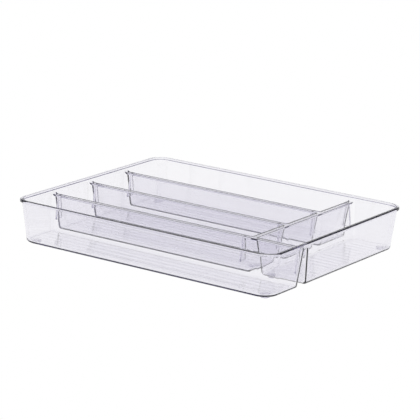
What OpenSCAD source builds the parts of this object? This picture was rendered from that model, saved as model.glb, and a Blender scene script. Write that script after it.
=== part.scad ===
// Clear cutlery tray for a drawer: one moulded shell with five compartments, on round non-slip feet.
// X is the long side, Y runs from front to back, Z is up. The origin is the middle of the footprint,
// on the surface that the feet stand on.

/* [Overall] */
// Length of the tray over the rim
tray_length = 350; // [320:1:400]
// Depth of the tray over the rim, front to back
tray_depth = 280; // [270:1:320]
// Height of the moulded shell, without the feet
shell_height = 50; // [44:1:60]
// Thickness of walls, floors and ridges
wall = 2; // [1.6:0.1:2.4]

/* [Rim and outer walls] */
// How far the rim's lip stands out from the outer walls
lip_out = 2; // [1:0.1:3]
// Height of the lip
lip_height = 3; // [2:0.1:5]
// How far the outer walls lean in from rim to base
outer_lean = 4.6; // [2:0.1:5]
// Corner radius of the rim, seen from above
rim_corner_radius = 20; // [16:1:28]

/* [Dividers] */
// Drop from the rim to the crest of the dividers
crest_drop = 7; // [5:0.5:12]
// Spacing of the three long dividers; the middle one lies on the X axis
divider_pitch = 69.5; // [66:0.5:72]
// Place of the cross divider on the X axis
cross_divider_x = 104.5; // [90:0.5:112]
// Width of a divider at the floor, measured between the compartments
divider_base = 17; // [14:0.5:20]
// Width of a divider at its crest
divider_crest = 7; // [6:0.5:9]
// Thickness of the stiffening webs inside the hollow dividers
web_thickness = 1.5; // [1:0.1:2]
// Distance from the end of a divider to its web
web_inset = 8; // [7:0.5:14]

/* [Floors] */
// Radius of the compartments' corners at the dividers, seen from above
inner_corner_radius = 3.4; // [3.2:0.1:6]
// Radius between floor and walls
floor_fillet = 3; // [2:0.1:3.2]
// Spacing of the low ribs on the floors
rib_pitch = 10; // [6:0.5:14]
// Width of a rib
rib_width = 1.6; // [0.8:0.1:3]
// Height of a rib
rib_height = 0.4; // [0.2:0.1:0.8]

/* [Feet] */
// Diameter of a foot
foot_diameter = 12; // [8:0.5:14]
// Height of a foot
foot_height = 2.5; // [1:0.1:3]
// Distance from the edges of the base to the middle of a foot at a corner of the tray
corner_foot_inset = 13; // [13:0.5:20]
// The same distance for the two feet beside the cross divider
inner_foot_inset = 11; // [11:0.5:16]

/* [Hidden] */

clear_plastic = [0.87, 0.86, 0.92, 0.45];
clear_rubber = [0.85, 0.85, 0.88, 0.7];
round_facets = 32;
foot_facets = 64;
sheet = 0.2;
overcut = 1;

// Heights are measured from the underside of the shell.
crest = shell_height - crest_drop;
ridge_seat = crest - wall;
fillet_height = wall + floor_fillet;
web_bottom = shell_height * 0.3;

half_length = tray_length / 2;
half_depth = tray_depth / 2;
front_divider_y = -divider_pitch;
middle_divider_y = 0;
back_divider_y = divider_pitch;
// The outer walls keep one corner radius all the way down
wall_corner_radius = rim_corner_radius - lip_out;

// Half the width that a ridge may take: the crest and most of the rounded corners beside it
ridge_zone = divider_crest / 2 + 0.8 * inner_corner_radius;

// The two inner feet stand either side of the hollow cross divider, this far from its middle
inner_foot_shift = divider_base / 2 - wall + inner_foot_inset;

// Each compartment is [west, east, south, north]: the divider on that side, or undef for an outer wall.
front_sides = [undef, undef, undef, front_divider_y];
left_front_sides = [undef, cross_divider_x, front_divider_y, middle_divider_y];
left_middle_sides = [undef, cross_divider_x, middle_divider_y, back_divider_y];
left_back_sides = [undef, cross_divider_x, back_divider_y, undef];
right_sides = [cross_divider_x, undef, front_divider_y, undef];
all_sides = [front_sides, left_front_sides, left_middle_sides, left_back_sides, right_sides];

// How far an outer wall's outside lies in from the rim's edge at a height
function outer_inset(z) = lip_out + outer_lean * (1 - z / shell_height);

// Half the width of a divider between its two compartments at a height
function divider_half(z) =
    (divider_base - (divider_base - divider_crest) * (z - wall) / (crest - wall)) / 2;

// Inside face of a compartment's side: sign is -1 for west and south, 1 for east and north
function inside_face(divider, half, sign, z) =
    is_undef(divider) ? sign * (half - outer_inset(z) - wall) : divider - sign * divider_half(z);

function face_x(sides, sign, z) = inside_face(sign < 0 ? sides[0] : sides[1], half_length, sign, z);

function face_y(sides, sign, z) = inside_face(sign < 0 ? sides[2] : sides[3], half_depth, sign, z);

// A corner between two outer walls follows the rim's corner; any other corner is a small one
function is_tray_corner(sides, sx, sy) =
    is_undef(sx < 0 ? sides[0] : sides[1]) && is_undef(sy < 0 ? sides[2] : sides[3]);

function corner_radius(sides, sx, sy) =
    is_tray_corner(sides, sx, sy) ? wall_corner_radius - wall : inner_corner_radius;

module at_corner(sides, sx, sy, z) {
    r = corner_radius(sides, sx, sy);
    translate([face_x(sides, sx, z) - sx * r, face_y(sides, sy, z) - sy * r, z]) children();
}

// A disc with a rounded edge, which rounds the foot of a wall at a corner
module rounded_disc(r, edge) {
    rotate_extrude($fn = round_facets)
        intersection() {
            translate([r - edge, 0]) circle(edge, $fn = round_facets);
            translate([0, -edge]) square([r, 2 * edge]);
        }
}

// The inside of a compartment up to a height, grown outwards on all faces
module compartment_form(sides, grow, top) {
    hull() {
        for (sx = [-1, 1], sy = [-1, 1]) {
            at_corner(sides, sx, sy, fillet_height)
                rounded_disc(corner_radius(sides, sx, sy) + grow, floor_fillet + grow);
            at_corner(sides, sx, sy, top - sheet)
                cylinder(r = corner_radius(sides, sx, sy) + grow, h = sheet, $fn = round_facets);
        }
    }
}

module floor_ribs(sides) {
    south = face_y(sides, -1, wall);
    north = face_y(sides, 1, wall);
    west = face_x(sides, -1, wall) + floor_fillet + wall;
    east = face_x(sides, 1, wall) - floor_fillet - wall;
    count = floor((north - south - 2 * floor_fillet) / rib_pitch);
    first = (south + north - (count - 1) * rib_pitch) / 2;
    for (i = [0 : count - 1]) {
        translate([west, first + i * rib_pitch - rib_width / 2, wall / 2])
            cube([east - west, rib_width, wall / 2 + rib_height]);
    }
}

module compartment(sides) {
    color(clear_plastic)
        translate([0, 0, foot_height]) {
            difference() {
                compartment_form(sides, wall, ridge_seat);
                compartment_form(sides, 0, ridge_seat + overcut);
            }
            floor_ribs(sides);
        }
}

module all_openings() {
    for (sides = all_sides) compartment_form(sides, 0, crest + overcut);
}

// The outer walls' outline between two heights, grown outwards
module outline_form(grow, low, high) {
    hull() {
        for (sx = [-1, 1], sy = [-1, 1], z = [low, high - sheet]) {
            inset = outer_inset(z) + wall_corner_radius;
            translate([sx * (half_length - inset), sy * (half_depth - inset), z])
                cylinder(r = wall_corner_radius + grow, h = sheet, $fn = 2 * round_facets);
        }
    }
}

module lip_form() {
    hull() {
        for (sx = [-1, 1], sy = [-1, 1]) {
            x = sx * (half_length - rim_corner_radius);
            y = sy * (half_depth - rim_corner_radius);
            translate([x, y, shell_height - lip_height])
                cylinder(r = rim_corner_radius, h = lip_height, $fn = 2 * round_facets);
        }
    }
}

module rim_band() {
    color(clear_plastic)
        translate([0, 0, foot_height])
            difference() {
                union() {
                    outline_form(0, ridge_seat, shell_height);
                    lip_form();
                }
                outline_form(-wall, ridge_seat - overcut, shell_height + overcut);
            }
}

// The ridge bridges the compartments on both sides of a divider and ends at the rim band
module ridge(x1, x2, y1, y2) {
    color(clear_plastic)
        translate([0, 0, foot_height])
            difference() {
                intersection() {
                    translate([x1, y1, ridge_seat]) cube([x2 - x1, y2 - y1, wall]);
                    outline_form(-wall, ridge_seat - overcut, crest + overcut);
                }
                all_openings();
            }
}

module long_ridge(y, x2) {
    ridge(-half_length, x2, y - ridge_zone, y + ridge_zone);
}

module cross_ridge() {
    ridge(
        cross_divider_x - ridge_zone,
        cross_divider_x + ridge_zone,
        front_divider_y + ridge_zone,
        half_depth
    );
}

// One web across the hollow of a divider that runs along X
module web() {
    low = divider_half(web_bottom) - wall;
    high = divider_half(ridge_seat) - wall;
    translate([-web_thickness / 2, 0, 0])
        rotate([90, 0, 90])
            linear_extrude(web_thickness)
                polygon([[-low, web_bottom], [low, web_bottom], [high, ridge_seat], [-high, ridge_seat]]);
}

module stiffening_webs() {
    west = -half_length + outer_inset(crest) + wall + web_inset;
    east = cross_divider_x - divider_half(crest) - web_inset;
    north = half_depth - outer_inset(crest) - wall - web_inset;
    color(clear_plastic)
        translate([0, 0, foot_height]) {
            for (y = [front_divider_y, middle_divider_y, back_divider_y], x = [west, east])
                translate([x, y, 0]) web();
            translate([-west, front_divider_y, 0]) web();
            translate([cross_divider_x, north, 0]) rotate([0, 0, 90]) web();
        }
}

module foot(x, y) {
    color(clear_rubber)
        translate([x, y, 0])
            cylinder(d = foot_diameter, h = foot_height, $fn = foot_facets);
}

module corner_foot(sx, sy) {
    foot(
        sx * (half_length - outer_inset(0) - corner_foot_inset),
        sy * (half_depth - outer_inset(0) - corner_foot_inset)
    );
}

module right_compartment_foot() {
    foot(cross_divider_x + inner_foot_shift, front_divider_y + inner_foot_shift);
}

module left_compartment_foot() {
    foot(cross_divider_x - inner_foot_shift, (front_divider_y + middle_divider_y) / 2);
}

rim_band();
compartment(front_sides);  // front_compartment
compartment(left_front_sides);  // left_front_compartment
compartment(left_middle_sides);  // left_middle_compartment
compartment(left_back_sides);  // left_back_compartment
compartment(right_sides);  // right_compartment
long_ridge(front_divider_y, half_length);  // front_ridge
long_ridge(middle_divider_y, cross_divider_x - ridge_zone);  // middle_ridge
long_ridge(back_divider_y, cross_divider_x - ridge_zone);  // back_ridge
cross_ridge();
stiffening_webs();
corner_foot(-1, -1);  // foot_front_left
corner_foot(1, -1);  // foot_front_right
corner_foot(-1, 1);  // foot_back_left
corner_foot(1, 1);  // foot_back_right
right_compartment_foot();  // foot_right_compartment
left_compartment_foot();  // foot_left_compartment
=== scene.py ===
import math

import bmesh
import bpy
import numpy as np
from mathutils import Matrix, Vector


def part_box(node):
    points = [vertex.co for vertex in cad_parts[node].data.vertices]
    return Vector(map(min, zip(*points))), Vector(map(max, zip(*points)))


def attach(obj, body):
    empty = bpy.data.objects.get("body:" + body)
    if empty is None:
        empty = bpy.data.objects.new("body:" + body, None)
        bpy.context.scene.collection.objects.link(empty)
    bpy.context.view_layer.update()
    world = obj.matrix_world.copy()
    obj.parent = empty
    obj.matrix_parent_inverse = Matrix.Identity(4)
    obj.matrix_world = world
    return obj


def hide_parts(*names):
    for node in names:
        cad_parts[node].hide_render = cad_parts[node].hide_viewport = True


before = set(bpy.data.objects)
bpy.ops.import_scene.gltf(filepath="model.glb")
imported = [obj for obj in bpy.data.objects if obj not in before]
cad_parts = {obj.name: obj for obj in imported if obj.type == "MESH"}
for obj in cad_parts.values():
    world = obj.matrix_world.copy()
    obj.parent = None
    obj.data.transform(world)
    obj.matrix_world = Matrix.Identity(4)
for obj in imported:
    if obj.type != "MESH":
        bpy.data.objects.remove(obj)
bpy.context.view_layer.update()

# ---------------------------------------------------------------------------------------------
# Sizes in millimetres. Heights are measured from the underside of the moulding.
# ---------------------------------------------------------------------------------------------
MM = 0.001

# As in the CAD
HALF_X, HALF_Y = 175.0, 140.0
HEIGHT = 50.0
WALL = 2.0
LIP_OUT, LIP_HEIGHT = 2.0, 3.0
LEAN = 4.6
RIM_RADIUS = 20.0
WALL_RADIUS = RIM_RADIUS - LIP_OUT - WALL
CREST = 43.0
PITCH = 69.5
CROSS_X = 104.5
DIVIDER_BASE, DIVIDER_CREST = 17.0, 7.0
DIVIDERS_Y = (-PITCH, 0.0, PITCH)
FOOT_HEIGHT = 2.5

# Cosines of the draft angles, which turn sideways distances into distances to the leaning faces
WALL_COSINE, DIVIDER_COSINE = 0.996, 0.993

# Radii of the inside faces, and of the outside faces less the wall: at the floors, at the compartments'
# corners, at those of the right compartment, and where two dividers meet
FLOOR_IN, FLOOR_OUT = 2.2, 0.8
CORNER_IN, CORNER_OUT = 3.0, 1.2
RIGHT_CORNER_IN, RIGHT_CORNER_OUT = 1.2, 2.4
JOIN_IN, JOIN_OUT = 2.6, 2.0
# Half the width of the zone under the dividers in which the corners' radii change over
CORNER_BLEND = 3.0

# Radii of the crests, of sharp edges, of the rim's top edge, and of the small fillets
CREST_ROUND, EDGE_ROUND, RIM_ROUND, FILLET = 0.6, 0.5, 1.5, 0.4

# Webs stand across the hollow dividers, and overlap the dividers' walls a little
WEB_HALF, WEB_BOTTOM, WEB_INSET, WEB_START = 0.75, 15.0, 8.0, 1.5

# Ribs on the floors: their height, half width, distance from the walls' feet, and sloping ends
RIB_HEIGHT, RIB_HALF, RIB_CLEAR, RIB_END = 0.06, 2.5, 5.0, 2.5
RIB_OFFSETS = (-15, -5, 5, 15)
OUTER_MIDDLE = 104.7
RIBS_LEFT = [side * (PITCH / 2 + n) for side in (-1, 1) for n in RIB_OFFSETS]
RIBS_OUTER = [side * (OUTER_MIDDLE + n) for side in (-1, 1) for n in RIB_OFFSETS]
# Ribs of the right compartment alone, where the left ones have dividers
RIBS_RIGHT = [-9.875, 0.0, 9.875, 59.7, 69.7, 79.7]

# Scuffs: how far around a vertex the bend is read, and the bends at which wear starts and is full
BEND_REACH, BEND_START, BEND_FULL = 0.3, 0.30, 1.00
# Wear of the crests, the depths under the crest at which it starts and is full, and how near is on it
CREST_WEAR, CREST_WEAR_START, CREST_WEAR_FULL, CREST_NEAR = 0.45, 1.2, 0.4, 0.5


def outer_inset(z):
    """How far the walls' outer faces stand in from the lip's edge."""
    return LIP_OUT + LEAN * (1 - z / HEIGHT)


def inner_x(z):
    return HALF_X - WALL - outer_inset(z)


def inner_y(z):
    return HALF_Y - WALL - outer_inset(z)


def half_divider(z):
    z = np.minimum(z, CREST)
    return (DIVIDER_BASE - (DIVIDER_BASE - DIVIDER_CREST) * (z - WALL) / (CREST - WALL)) / 2


def round_and(a, b, r):
    """Both conditions hold; the corner between them is rounded."""
    return np.minimum(-r, np.maximum(a, b)) + np.hypot(np.maximum(r + a, 0), np.maximum(r + b, 0))


def round_or(a, b, r):
    """Either condition holds; the inner corner between them is filled with a fillet."""
    return np.maximum(r, np.minimum(a, b)) - np.hypot(np.maximum(r - a, 0), np.maximum(r - b, 0))


def rounded_rect(x, y, hx, hy, r):
    qx, qy = np.abs(x) - hx + r, np.abs(y) - hy + r
    return np.hypot(np.maximum(qx, 0), np.maximum(qy, 0)) + np.minimum(np.maximum(qx, qy), 0) - r


def ramp(v, a, b):
    """0 below a, 1 above b, and a smooth step between them."""
    t = np.clip((v - a) / (b - a), 0, 1)
    return t * t * (3 - 2 * t)


def rib_rows(y, centres):
    """Cross-section of a row of ribs, from 0 to 1."""
    total = np.zeros_like(y)
    for c in centres:
        t = np.clip(np.abs(y - c) / RIB_HALF, 0, 1)
        total = np.maximum(total, 0.5 + 0.5 * np.cos(math.pi * t))
    return total


def ribs(x, y):
    """Height of the low ribs over the floors."""
    floor_x = inner_x(WALL) - RIB_CLEAR
    floor_half = DIVIDER_BASE / 2 + RIB_CLEAR
    ends = ramp(-np.abs(x), -floor_x, -floor_x + RIB_END)
    long = rib_rows(y, RIBS_LEFT + RIBS_OUTER)
    right = rib_rows(y, [c for c in RIBS_LEFT + RIBS_OUTER + RIBS_RIGHT if c > -PITCH])
    west = ramp(CROSS_X - x, floor_half, floor_half + RIB_END)
    east = ramp(x - CROSS_X, floor_half, floor_half + RIB_END)
    front = (y < -PITCH) * 1.0
    return RIB_HEIGHT * ends * np.maximum(long * np.maximum(west, front), right * east * (1 - front))


def divider_form(x, y, z, join):
    """Distance to the dividers, negative inside them. Their crests are rounded, and join is their fillet."""
    w = half_divider(z)
    bars = np.maximum(np.abs(x - CROSS_X) - w, -PITCH - y)
    bars = round_or(np.abs(y + PITCH) - w, bars, join)
    for c in (0.0, PITCH):
        bars = round_or(np.maximum(np.abs(y - c) - w, x - CROSS_X), bars, join)
    return round_and(bars * DIVIDER_COSINE, z - CREST, CREST_ROUND)


def web_form(x, y, z, divider):
    """Distance to the stiffening webs inside the dividers, near the dividers' ends."""
    west = inner_x(CREST) - WEB_INSET
    north = inner_y(CREST) - WEB_INSET
    east = CROSS_X - DIVIDER_CREST / 2 - WEB_INSET
    across = np.minimum(np.abs(np.abs(x) - west), np.abs(x - east))
    across = np.where(np.abs(y) < PITCH + DIVIDER_BASE, across, np.abs(y - north))
    web = round_and(across - WEB_HALF, WEB_BOTTOM - z, FILLET)
    return np.maximum(web, divider + WEB_START)


def tray_form(x, y, z):
    """Distance to the surface of the moulding in millimetres, negative in the plastic."""
    outline = rounded_rect(x, y, inner_x(z), inner_y(z), WALL_RADIUS) * WALL_COSINE
    in_right = ramp(np.minimum(x - CROSS_X, y + PITCH), -CORNER_BLEND, CORNER_BLEND)
    divider = divider_form(x, y, z, JOIN_IN)
    corner = CORNER_IN + (RIGHT_CORNER_IN - CORNER_IN) * in_right
    inside = round_and(round_and(outline, WALL + ribs(x, y) - z, FLOOR_IN), -divider, corner)
    divider = divider_form(x, y, z, JOIN_OUT)
    corner = CORNER_OUT + (RIGHT_CORNER_OUT - CORNER_OUT) * in_right
    outside = round_and(round_and(outline, WALL - z, FLOOR_OUT), -divider, corner) - WALL
    lip = rounded_rect(x, y, HALF_X, HALF_Y, RIM_RADIUS)
    lip = round_and(lip, HEIGHT - LIP_HEIGHT - z, EDGE_ROUND / 2)
    body = round_and(round_or(outside, lip, FILLET), z - HEIGHT, RIM_ROUND)
    body = round_and(body, -inside, EDGE_ROUND)
    return round_or(body, web_form(x, y, z, divider), FILLET)


def crest_wear(x, y, z):
    """Wear along the dividers' crests, 0 elsewhere."""
    on_divider = np.abs(divider_form(x, y, z, JOIN_OUT)) < CREST_NEAR
    return CREST_WEAR * on_divider * ramp(z, CREST - CREST_WEAR_START, CREST - CREST_WEAR_FULL)


# ---------------------------------------------------------------------------------------------
# Grid for the moulding. Its lines follow the drafted walls, dense where the form bends. The lists hold
# distances from the wall's inner face, the lip's edge, a divider's faces (its own lines and those for the
# webs) and a rib's middle, and then heights.
# ---------------------------------------------------------------------------------------------
WALL_LINES = [-2.4, -1.5, -1.1, -0.75, -0.4, 0.4, 1.1, 1.8, 2.5, 3.3, 4.2, 5.2, 6.1, 7.0, 8.0, 9.0,
              10.1, 11.3, 12.5, 13.7, 15.0, 16.5]
LIP_LINES = [-0.4, 0.3, 0.8, 1.3]
DIVIDER_LINES = [-2.4, -1.6, -1.0, -0.4, 0.4, 1.1, 1.8, 2.6, 3.5, 4.6]
WEB_LINES = [5.6, 6.6, 7.6, 8.5, 9.4]
RIB_LINES = [-2.0, -1.0, 0.0, 1.0, 2.0]
LEVELS = [-0.5, 0.4, 1.0, 1.5, 2.7, 3.3, 3.9, 4.6, 5.5, 7.5, 10.5, 13.5, 14.6, 15.4, 16.5, 21, 26, 31,
          35.5, 37.8, 39.0, 39.7, 40.2, 40.7, 41.3, 41.9, 42.6, 43.4, 44.2, 45.2, 46.2, 46.8, 47.3, 47.9,
          48.6, 49.1, 49.6, 50.4]
# Lines between a divider's middle and its first line, as shares of that distance
MIDDLE_SHARES = (0.13, 0.27, 0.6)
# Rough spacing of the lines in open stretches
GAP_X, GAP_Y = 22.0, 9.0
# Ribs further out than this lie among the walls' lines and need none of their own
LAST_LINED_RIB = 112.0


def wall_group(inner, rim, z):
    """Lines at the low side of an axis: the lip's edge, both faces of the wall and the corner zone."""
    return [np.full_like(z, -rim) + o for o in LIP_LINES] + [-inner(z) + o for o in WALL_LINES]


def mirrored(group):
    return [-line for line in group[::-1]]


def divider_group(centre, z, low_web=False):
    """Lines at a divider: its middle, its faces and, with low_web, the webs on its low side."""
    w = half_divider(z)
    side = [w + o for o in DIVIDER_LINES]
    high = [side[0] * share for share in MIDDLE_SHARES] + side
    low = high + ([w + o for o in WEB_LINES] if low_web else [])
    return [centre - v for v in low[::-1]] + [np.full_like(z, centre)] + [centre + v for v in high]


def filled(groups, gap):
    """Joins groups of lines, with evenly spaced lines where two groups are far apart."""
    lines = list(groups[0])
    for group in groups[1:]:
        a, b = lines[-1], group[0]
        n = int(max(np.min(b - a) / gap, 0))
        lines += [a + (b - a) * (i + 1) / (n + 1) for i in range(n)]
        lines += list(group)
    return np.stack(lines)


def grid_lines():
    z = np.array(LEVELS, float)
    low = wall_group(inner_x, HALF_X, z)
    x = filled([low, divider_group(CROSS_X, z, True), mirrored(low)], GAP_X)
    low = wall_group(inner_y, HALF_Y, z)
    lined_ribs = [c for c in RIBS_LEFT + RIBS_OUTER if abs(c) < LAST_LINED_RIB]
    groups = [low]
    for c in sorted(lined_ribs + list(DIVIDERS_Y)):
        groups.append(divider_group(c, z) if c in DIVIDERS_Y else [np.full_like(z, c + o) for o in RIB_LINES])
    groups.append(mirrored(low))
    return x, filled(groups, GAP_Y), z


# ---------------------------------------------------------------------------------------------
# Meshing. Every cell that the surface crosses gets one vertex, which is then moved on to the exact
# surface, so that the whole tray is one seamless shell.
# ---------------------------------------------------------------------------------------------
SLOPE_STEP = 0.01
SETTLE_ROUNDS, SETTLE_STEP, LEAST_SLOPE = 6, 0.35, 0.25


def moved(points, axis, distance):
    step = np.zeros(3)
    step[axis] = distance
    return (points + step).T


def gradient(form, points):
    out = np.empty_like(points)
    for axis in range(3):
        rise = form(*moved(points, axis, SLOPE_STEP)) - form(*moved(points, axis, -SLOPE_STEP))
        out[:, axis] = rise / (2 * SLOPE_STEP)
    return out


def bend_at(form, points):
    """Laplacian of the form from its six neighbours: large at sharp outer edges."""
    bend = -6 * form(*points.T)
    for axis in range(3):
        for side in (-BEND_REACH, BEND_REACH):
            bend += form(*moved(points, axis, side))
    return bend / (BEND_REACH * BEND_REACH)


def surface_net(form, x, y, z):
    """Vertices and quads of the surface form = 0 on the grid x[i, k], y[j, k], z[k]."""
    nx, ny, nz = len(x), len(y), len(z)
    gx = np.broadcast_to(x[:, None, :], (nx, ny, nz))
    gy = np.broadcast_to(y[None, :, :], (nx, ny, nz))
    gz = np.broadcast_to(z[None, None, :], (nx, ny, nz))
    f = form(gx, gy, gz)
    points = np.stack([gx, gy, gz], -1)
    total = np.zeros((nx - 1, ny - 1, nz - 1, 3))
    count = np.zeros((nx - 1, ny - 1, nz - 1))
    crossings = []
    for axis in range(3):
        a = [slice(None)] * 3
        b = [slice(None)] * 3
        a[axis], b[axis] = slice(None, -1), slice(1, None)
        fa, fb = f[tuple(a)], f[tuple(b)]
        crossed = (fa < 0) != (fb < 0)
        index = np.argwhere(crossed)
        va, vb = fa[crossed], fb[crossed]
        t = (va / (va - vb))[:, None]
        where = points[tuple(a)][crossed] * (1 - t) + points[tuple(b)][crossed] * t
        others = [d for d in range(3) if d != axis]
        cells = []
        for du, dv in ((0, 0), (-1, 0), (-1, -1), (0, -1)):
            cell = index.copy()
            cell[:, others[0]] += du
            cell[:, others[1]] += dv
            cells.append(cell)
            np.add.at(total, tuple(cell.T), where)
            np.add.at(count, tuple(cell.T), 1)
        crossings.append((axis, cells, va < 0))
    used = count > 0
    ids = np.full(used.shape, -1)
    ids[used] = np.arange(used.sum())
    faces = []
    for axis, cells, inward in crossings:
        quad = np.stack([ids[tuple(c.T)] for c in cells], 1)
        flip = inward if axis != 1 else ~inward
        faces.append(np.where(flip[:, None], quad, quad[:, ::-1]))
    return total[used] / count[used][:, None], np.concatenate(faces)


def settled(form, points):
    """Moves the points on to the surface along the form's gradient."""
    for _ in range(SETTLE_ROUNDS):
        slope = gradient(form, points)
        move = form(*points.T) / np.maximum((slope * slope).sum(1), LEAST_SLOPE)
        points = points - slope * np.clip(move, -SETTLE_STEP, SETTLE_STEP)[:, None]
    return points


def shell_mesh(name, form, x, y, z):
    """Closed mesh of form < 0, with exact normals and with its wear as an attribute."""
    points, faces = surface_net(form, x, y, z)
    points = settled(form, points)
    mesh = bpy.data.meshes.new(name)
    lifted = (points + (0, 0, FOOT_HEIGHT)) * MM
    mesh.vertices.add(len(lifted))
    mesh.vertices.foreach_set("co", lifted.astype(np.float32).ravel())
    mesh.loops.add(faces.size)
    mesh.loops.foreach_set("vertex_index", faces.astype(np.int32).ravel())
    mesh.polygons.add(len(faces))
    mesh.polygons.foreach_set("loop_start", np.arange(0, faces.size, 4, dtype=np.int32))
    mesh.update(calc_edges=True)
    mesh.validate()
    mesh.polygons.foreach_set("use_smooth", np.ones(len(mesh.polygons), bool))
    normals = gradient(form, points)
    normals /= np.linalg.norm(normals, axis=1)[:, None]
    mesh.normals_split_custom_set_from_vertices(normals.astype(np.float32))
    worn = np.maximum(ramp(bend_at(form, points), BEND_START, BEND_FULL), crest_wear(*points.T))
    mesh.attributes.new("worn", "FLOAT", "POINT").data.foreach_set("value", worn.astype(np.float32))
    return mesh


# ---------------------------------------------------------------------------------------------
# Materials
# ---------------------------------------------------------------------------------------------
SCUFF_ROUGHNESS = 0.30
# Sockets of a Mix node for single values
MIX_FACTOR, MIX_A, MIX_B = 0, 2, 3


def new_material(name):
    m = bpy.data.materials.new(name)
    m.use_nodes = True
    nt = m.node_tree
    nt.nodes.clear()
    return m, nt


def add(nt, kind, **values):
    n = nt.nodes.new(kind)
    for k, v in values.items():
        if k in n.inputs:
            n.inputs[k].default_value = v
        else:
            setattr(n, k, v)
    return n


def set_inputs(node, **values):
    for k, v in values.items():
        node.inputs[k.replace("_", " ")].default_value = v


def add_scuffs(nt, polish, shader):
    """Makes the surface rougher where the mesh is marked as worn."""
    worn = add(nt, "ShaderNodeAttribute", attribute_name="worn")
    scuffs = add(nt, "ShaderNodeMix", data_type="FLOAT")
    scuffs.inputs[MIX_B].default_value = SCUFF_ROUGHNESS
    nt.links.new(worn.outputs["Fac"], scuffs.inputs[MIX_FACTOR])
    nt.links.new(polish, scuffs.inputs[MIX_A])
    nt.links.new(scuffs.outputs[0], shader.inputs["Roughness"])


def clear_plastic(name, tint, density, ior, roughness, bump, scuffed=False):
    """Clear moulded plastic: faintly wavy, a little unevenly polished, and tinted by its thickness."""
    m, nt = new_material(name)
    out = add(nt, "ShaderNodeOutputMaterial")
    shader = add(nt, "ShaderNodeBsdfPrincipled")
    set_inputs(shader, Base_Color=(1, 1, 1, 1), IOR=ior, Transmission_Weight=1.0)
    coords = add(nt, "ShaderNodeTexCoord")
    haze = add(nt, "ShaderNodeTexNoise", Scale=18.0, Detail=3.0, Roughness=0.5)
    polish = add(nt, "ShaderNodeMapRange")
    set_inputs(polish, From_Min=0.35, From_Max=0.65, To_Min=roughness[0], To_Max=roughness[1])
    wave = add(nt, "ShaderNodeTexNoise", Scale=28.0, Detail=1.0, Roughness=0.4)
    relief = add(nt, "ShaderNodeBump")
    set_inputs(relief, Strength=bump, Distance=0.001)
    nt.links.new(coords.outputs["Object"], haze.inputs["Vector"])
    nt.links.new(coords.outputs["Object"], wave.inputs["Vector"])
    nt.links.new(haze.outputs[0], polish.inputs["Value"])
    nt.links.new(polish.outputs[0], shader.inputs["Roughness"])
    nt.links.new(wave.outputs[0], relief.inputs["Height"])
    nt.links.new(relief.outputs[0], shader.inputs["Normal"])
    if scuffed:
        add_scuffs(nt, polish.outputs[0], shader)
    nt.links.new(shader.outputs[0], out.inputs["Surface"])
    depth = add(nt, "ShaderNodeVolumeAbsorption")
    set_inputs(depth, Color=tint, Density=density)
    nt.links.new(depth.outputs[0], out.inputs["Volume"])
    return m


shell_plastic = clear_plastic("clear_shell_plastic", tint=(0.37, 0.32, 0.56, 1), density=44.0, ior=1.5,
                              roughness=(0.0, 0.03), bump=0.02, scuffed=True)
foot_plastic = clear_plastic("clear_foot_rubber", tint=(0.50, 0.46, 0.62, 1), density=60.0, ior=1.36,
                             roughness=(0.15, 0.28), bump=0.04)

# ---------------------------------------------------------------------------------------------
# Pieces
# ---------------------------------------------------------------------------------------------
scene = bpy.context.scene


def link(name, mesh, material):
    obj = bpy.data.objects.new(name, mesh)
    scene.collection.objects.link(obj)
    mesh.materials.append(material)
    return obj


tray = link("tray_moulding", shell_mesh("tray_moulding", tray_form, *grid_lines()), shell_plastic)
SHELL_NODES = [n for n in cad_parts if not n.startswith("foot_")]
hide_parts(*SHELL_NODES)
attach(tray, "root")

# Half section of a foot: radius and height in millimetres, from the middle of its underside to that of
# its top, which stays just clear of the moulding
FOOT_SECTION = [(0, 0.30), (1.6, 0.28), (2.6, 0.18), (3.2, 0.05), (3.7, 0.0), (4.4, 0.0), (4.9, 0.10),
                (5.3, 0.36), (5.6, 0.80), (5.8, 1.40), (5.95, 2.0), (6.0, 2.3), (5.95, 2.42),
                (5.8, 2.48), (0, 2.48)]
FOOT_STEPS = 64


def foot_mesh(name, cx, cy):
    """FOOT_SECTION turned about the upright axis at (cx, cy)."""
    bm = bmesh.new()
    rings = []
    for r, h in FOOT_SECTION:
        turns = [2 * math.pi * i / FOOT_STEPS for i in range(FOOT_STEPS if r else 1)]
        rings.append([bm.verts.new(((cx + r * math.cos(a)) * MM, (cy + r * math.sin(a)) * MM, h * MM))
                      for a in turns])
    for a, b in zip(rings, rings[1:]):
        for i in range(FOOT_STEPS):
            j = (i + 1) % FOOT_STEPS
            if len(a) == 1:
                bm.faces.new((a[0], b[j], b[i]))
            elif len(b) == 1:
                bm.faces.new((a[i], a[j], b[0]))
            else:
                bm.faces.new((a[i], a[j], b[j], b[i]))
    bmesh.ops.recalc_face_normals(bm, faces=bm.faces)
    for face in bm.faces:
        face.smooth = True
    mesh = bpy.data.meshes.new(name)
    bm.to_mesh(mesh)
    bm.free()
    return mesh


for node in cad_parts:
    if node.startswith("foot_"):
        low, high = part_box(node)
        middle = (low + high) / 2 / MM
        pad = link(node.replace("foot_", "pad_"), foot_mesh(node, middle.x, middle.y), foot_plastic)
        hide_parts(node)
        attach(pad, "root")

# ---------------------------------------------------------------------------------------------
# Floor, light and camera, in metres
# ---------------------------------------------------------------------------------------------
FLOOR_HALF = 9.0
# The floor's glow as the camera sees it directly, and for all other rays
FLOOR_GLOW, FLOOR_GLOW_OTHER = 1.0, 0.99
# The sky by its height: pale below and overhead, with a dusky violet band in between
PALE, DUSKY, WHITE = (0.98, 0.98, 0.98, 1), (0.22, 0.21, 0.36, 1), (1.0, 1.0, 1.0, 1)
SKY = [(0.0, PALE), (0.32, PALE), (0.44, DUSKY), (0.80, DUSKY), (0.88, WHITE), (1.0, WHITE)]

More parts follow.
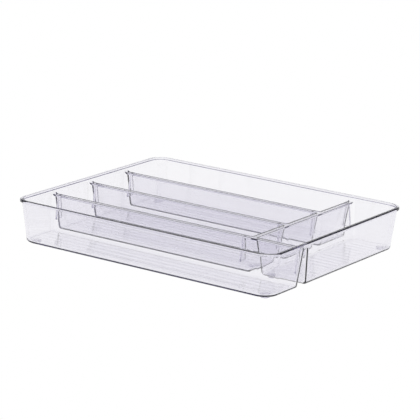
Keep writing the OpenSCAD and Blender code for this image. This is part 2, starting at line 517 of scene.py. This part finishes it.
AZIMUTH, ELEVATION, ROLL = 34.0175, 15.106, 2.1898
DISTANCE = 2.7699
CAMERA_AIM = (-0.0845, 0.1244, FOOT_HEIGHT * MM)
LENS, SENSOR_WIDTH = 196.99, 36.0
CLIP_NEAR, CLIP_FAR = 0.05, 50.0
BOUNCES, GLOSSY_BOUNCES = 48, 12


def glowing_floor_material():
    """A floor that glows evenly. Its base colour is black, so lamps and caustics don't show on it."""
    m, nt = new_material("pale_floor")
    out = add(nt, "ShaderNodeOutputMaterial")
    shader = add(nt, "ShaderNodeBsdfPrincipled")
    set_inputs(shader, Base_Color=(0.0, 0.0, 0.0, 1), Roughness=0.9, Specular_IOR_Level=0.0,
               Emission_Color=(1, 1, 1, 1), Emission_Strength=0.0)
    seen = add(nt, "ShaderNodeLightPath")
    glow = add(nt, "ShaderNodeMapRange")
    set_inputs(glow, To_Min=FLOOR_GLOW_OTHER, To_Max=FLOOR_GLOW)
    nt.links.new(seen.outputs["Is Camera Ray"], glow.inputs["Value"])
    nt.links.new(glow.outputs[0], shader.inputs["Emission Strength"])
    nt.links.new(shader.outputs[0], out.inputs["Surface"])
    return m


def floor_square():
    mesh = bpy.data.meshes.new("floor")
    corners = [(x * FLOOR_HALF, y * FLOOR_HALF, 0) for x, y in ((-1, -1), (1, -1), (1, 1), (-1, 1))]
    mesh.from_pydata(corners, [], [(0, 1, 2, 3)])
    return mesh


def studio_world():
    world = bpy.data.worlds.new("studio")
    world.use_nodes = True
    nt = world.node_tree
    nt.nodes.clear()
    out = add(nt, "ShaderNodeOutputWorld")
    background = add(nt, "ShaderNodeBackground")
    direction = add(nt, "ShaderNodeTexCoord")
    height = add(nt, "ShaderNodeSeparateXYZ")
    sky = add(nt, "ShaderNodeValToRGB")
    while len(sky.color_ramp.elements) < len(SKY):
        sky.color_ramp.elements.new(0.5)
    for element, (at, colour) in zip(sky.color_ramp.elements, SKY):
        element.position = at
        element.color = colour
    nt.links.new(direction.outputs["Generated"], height.inputs[0])
    nt.links.new(height.outputs["Z"], sky.inputs[0])
    nt.links.new(sky.outputs[0], background.inputs["Color"])
    set_inputs(background, Strength=1.0)
    nt.links.new(background.outputs[0], out.inputs["Surface"])
    return world


def softbox(name, place, aim, size, power):
    data = bpy.data.lights.new(name, "AREA")
    data.shape = "RECTANGLE"
    data.size, data.size_y = size
    data.energy = power
    obj = bpy.data.objects.new(name, data)
    scene.collection.objects.link(obj)
    obj.location = place
    obj.rotation_mode = "QUATERNION"
    obj.rotation_quaternion = (Vector(aim) - Vector(place)).to_track_quat("-Z", "Y")


def photo_camera():
    """A camera at the photograph's angle: round the object, up, and tilted a little about its own view."""
    az, el, roll = (math.radians(v) for v in (AZIMUTH, ELEVATION, ROLL))
    back = Vector((math.sin(az) * math.cos(el), -math.cos(az) * math.cos(el), math.sin(el)))
    right = Vector((math.cos(az), math.sin(az), 0))
    up = back.cross(right)
    turned_right = right * math.cos(roll) + up * math.sin(roll)
    turned_up = up * math.cos(roll) - right * math.sin(roll)
    data = bpy.data.cameras.new("camera")
    data.lens, data.sensor_width = LENS, SENSOR_WIDTH
    data.clip_start, data.clip_end = CLIP_NEAR, CLIP_FAR
    camera = bpy.data.objects.new("camera", data)
    scene.collection.objects.link(camera)
    place = Matrix((turned_right, turned_up, back)).transposed().to_4x4()
    place.translation = Vector(CAMERA_AIM) + back * DISTANCE
    camera.matrix_world = place
    return camera


floor = link("floor", floor_square(), glowing_floor_material())
scene.world = studio_world()
softbox("top_light", place=(0.0, 0.2, 1.6), aim=(0, 0, 0), size=(1.6, 1.2), power=3.0)
scene.camera = photo_camera()

scene.view_settings.view_transform = "Standard"
scene.cycles.use_denoising = True
scene.cycles.max_bounces = BOUNCES
scene.cycles.transmission_bounces = BOUNCES
scene.cycles.glossy_bounces = GLOSSY_BOUNCES
scene.cycles.transparent_max_bounces = BOUNCES
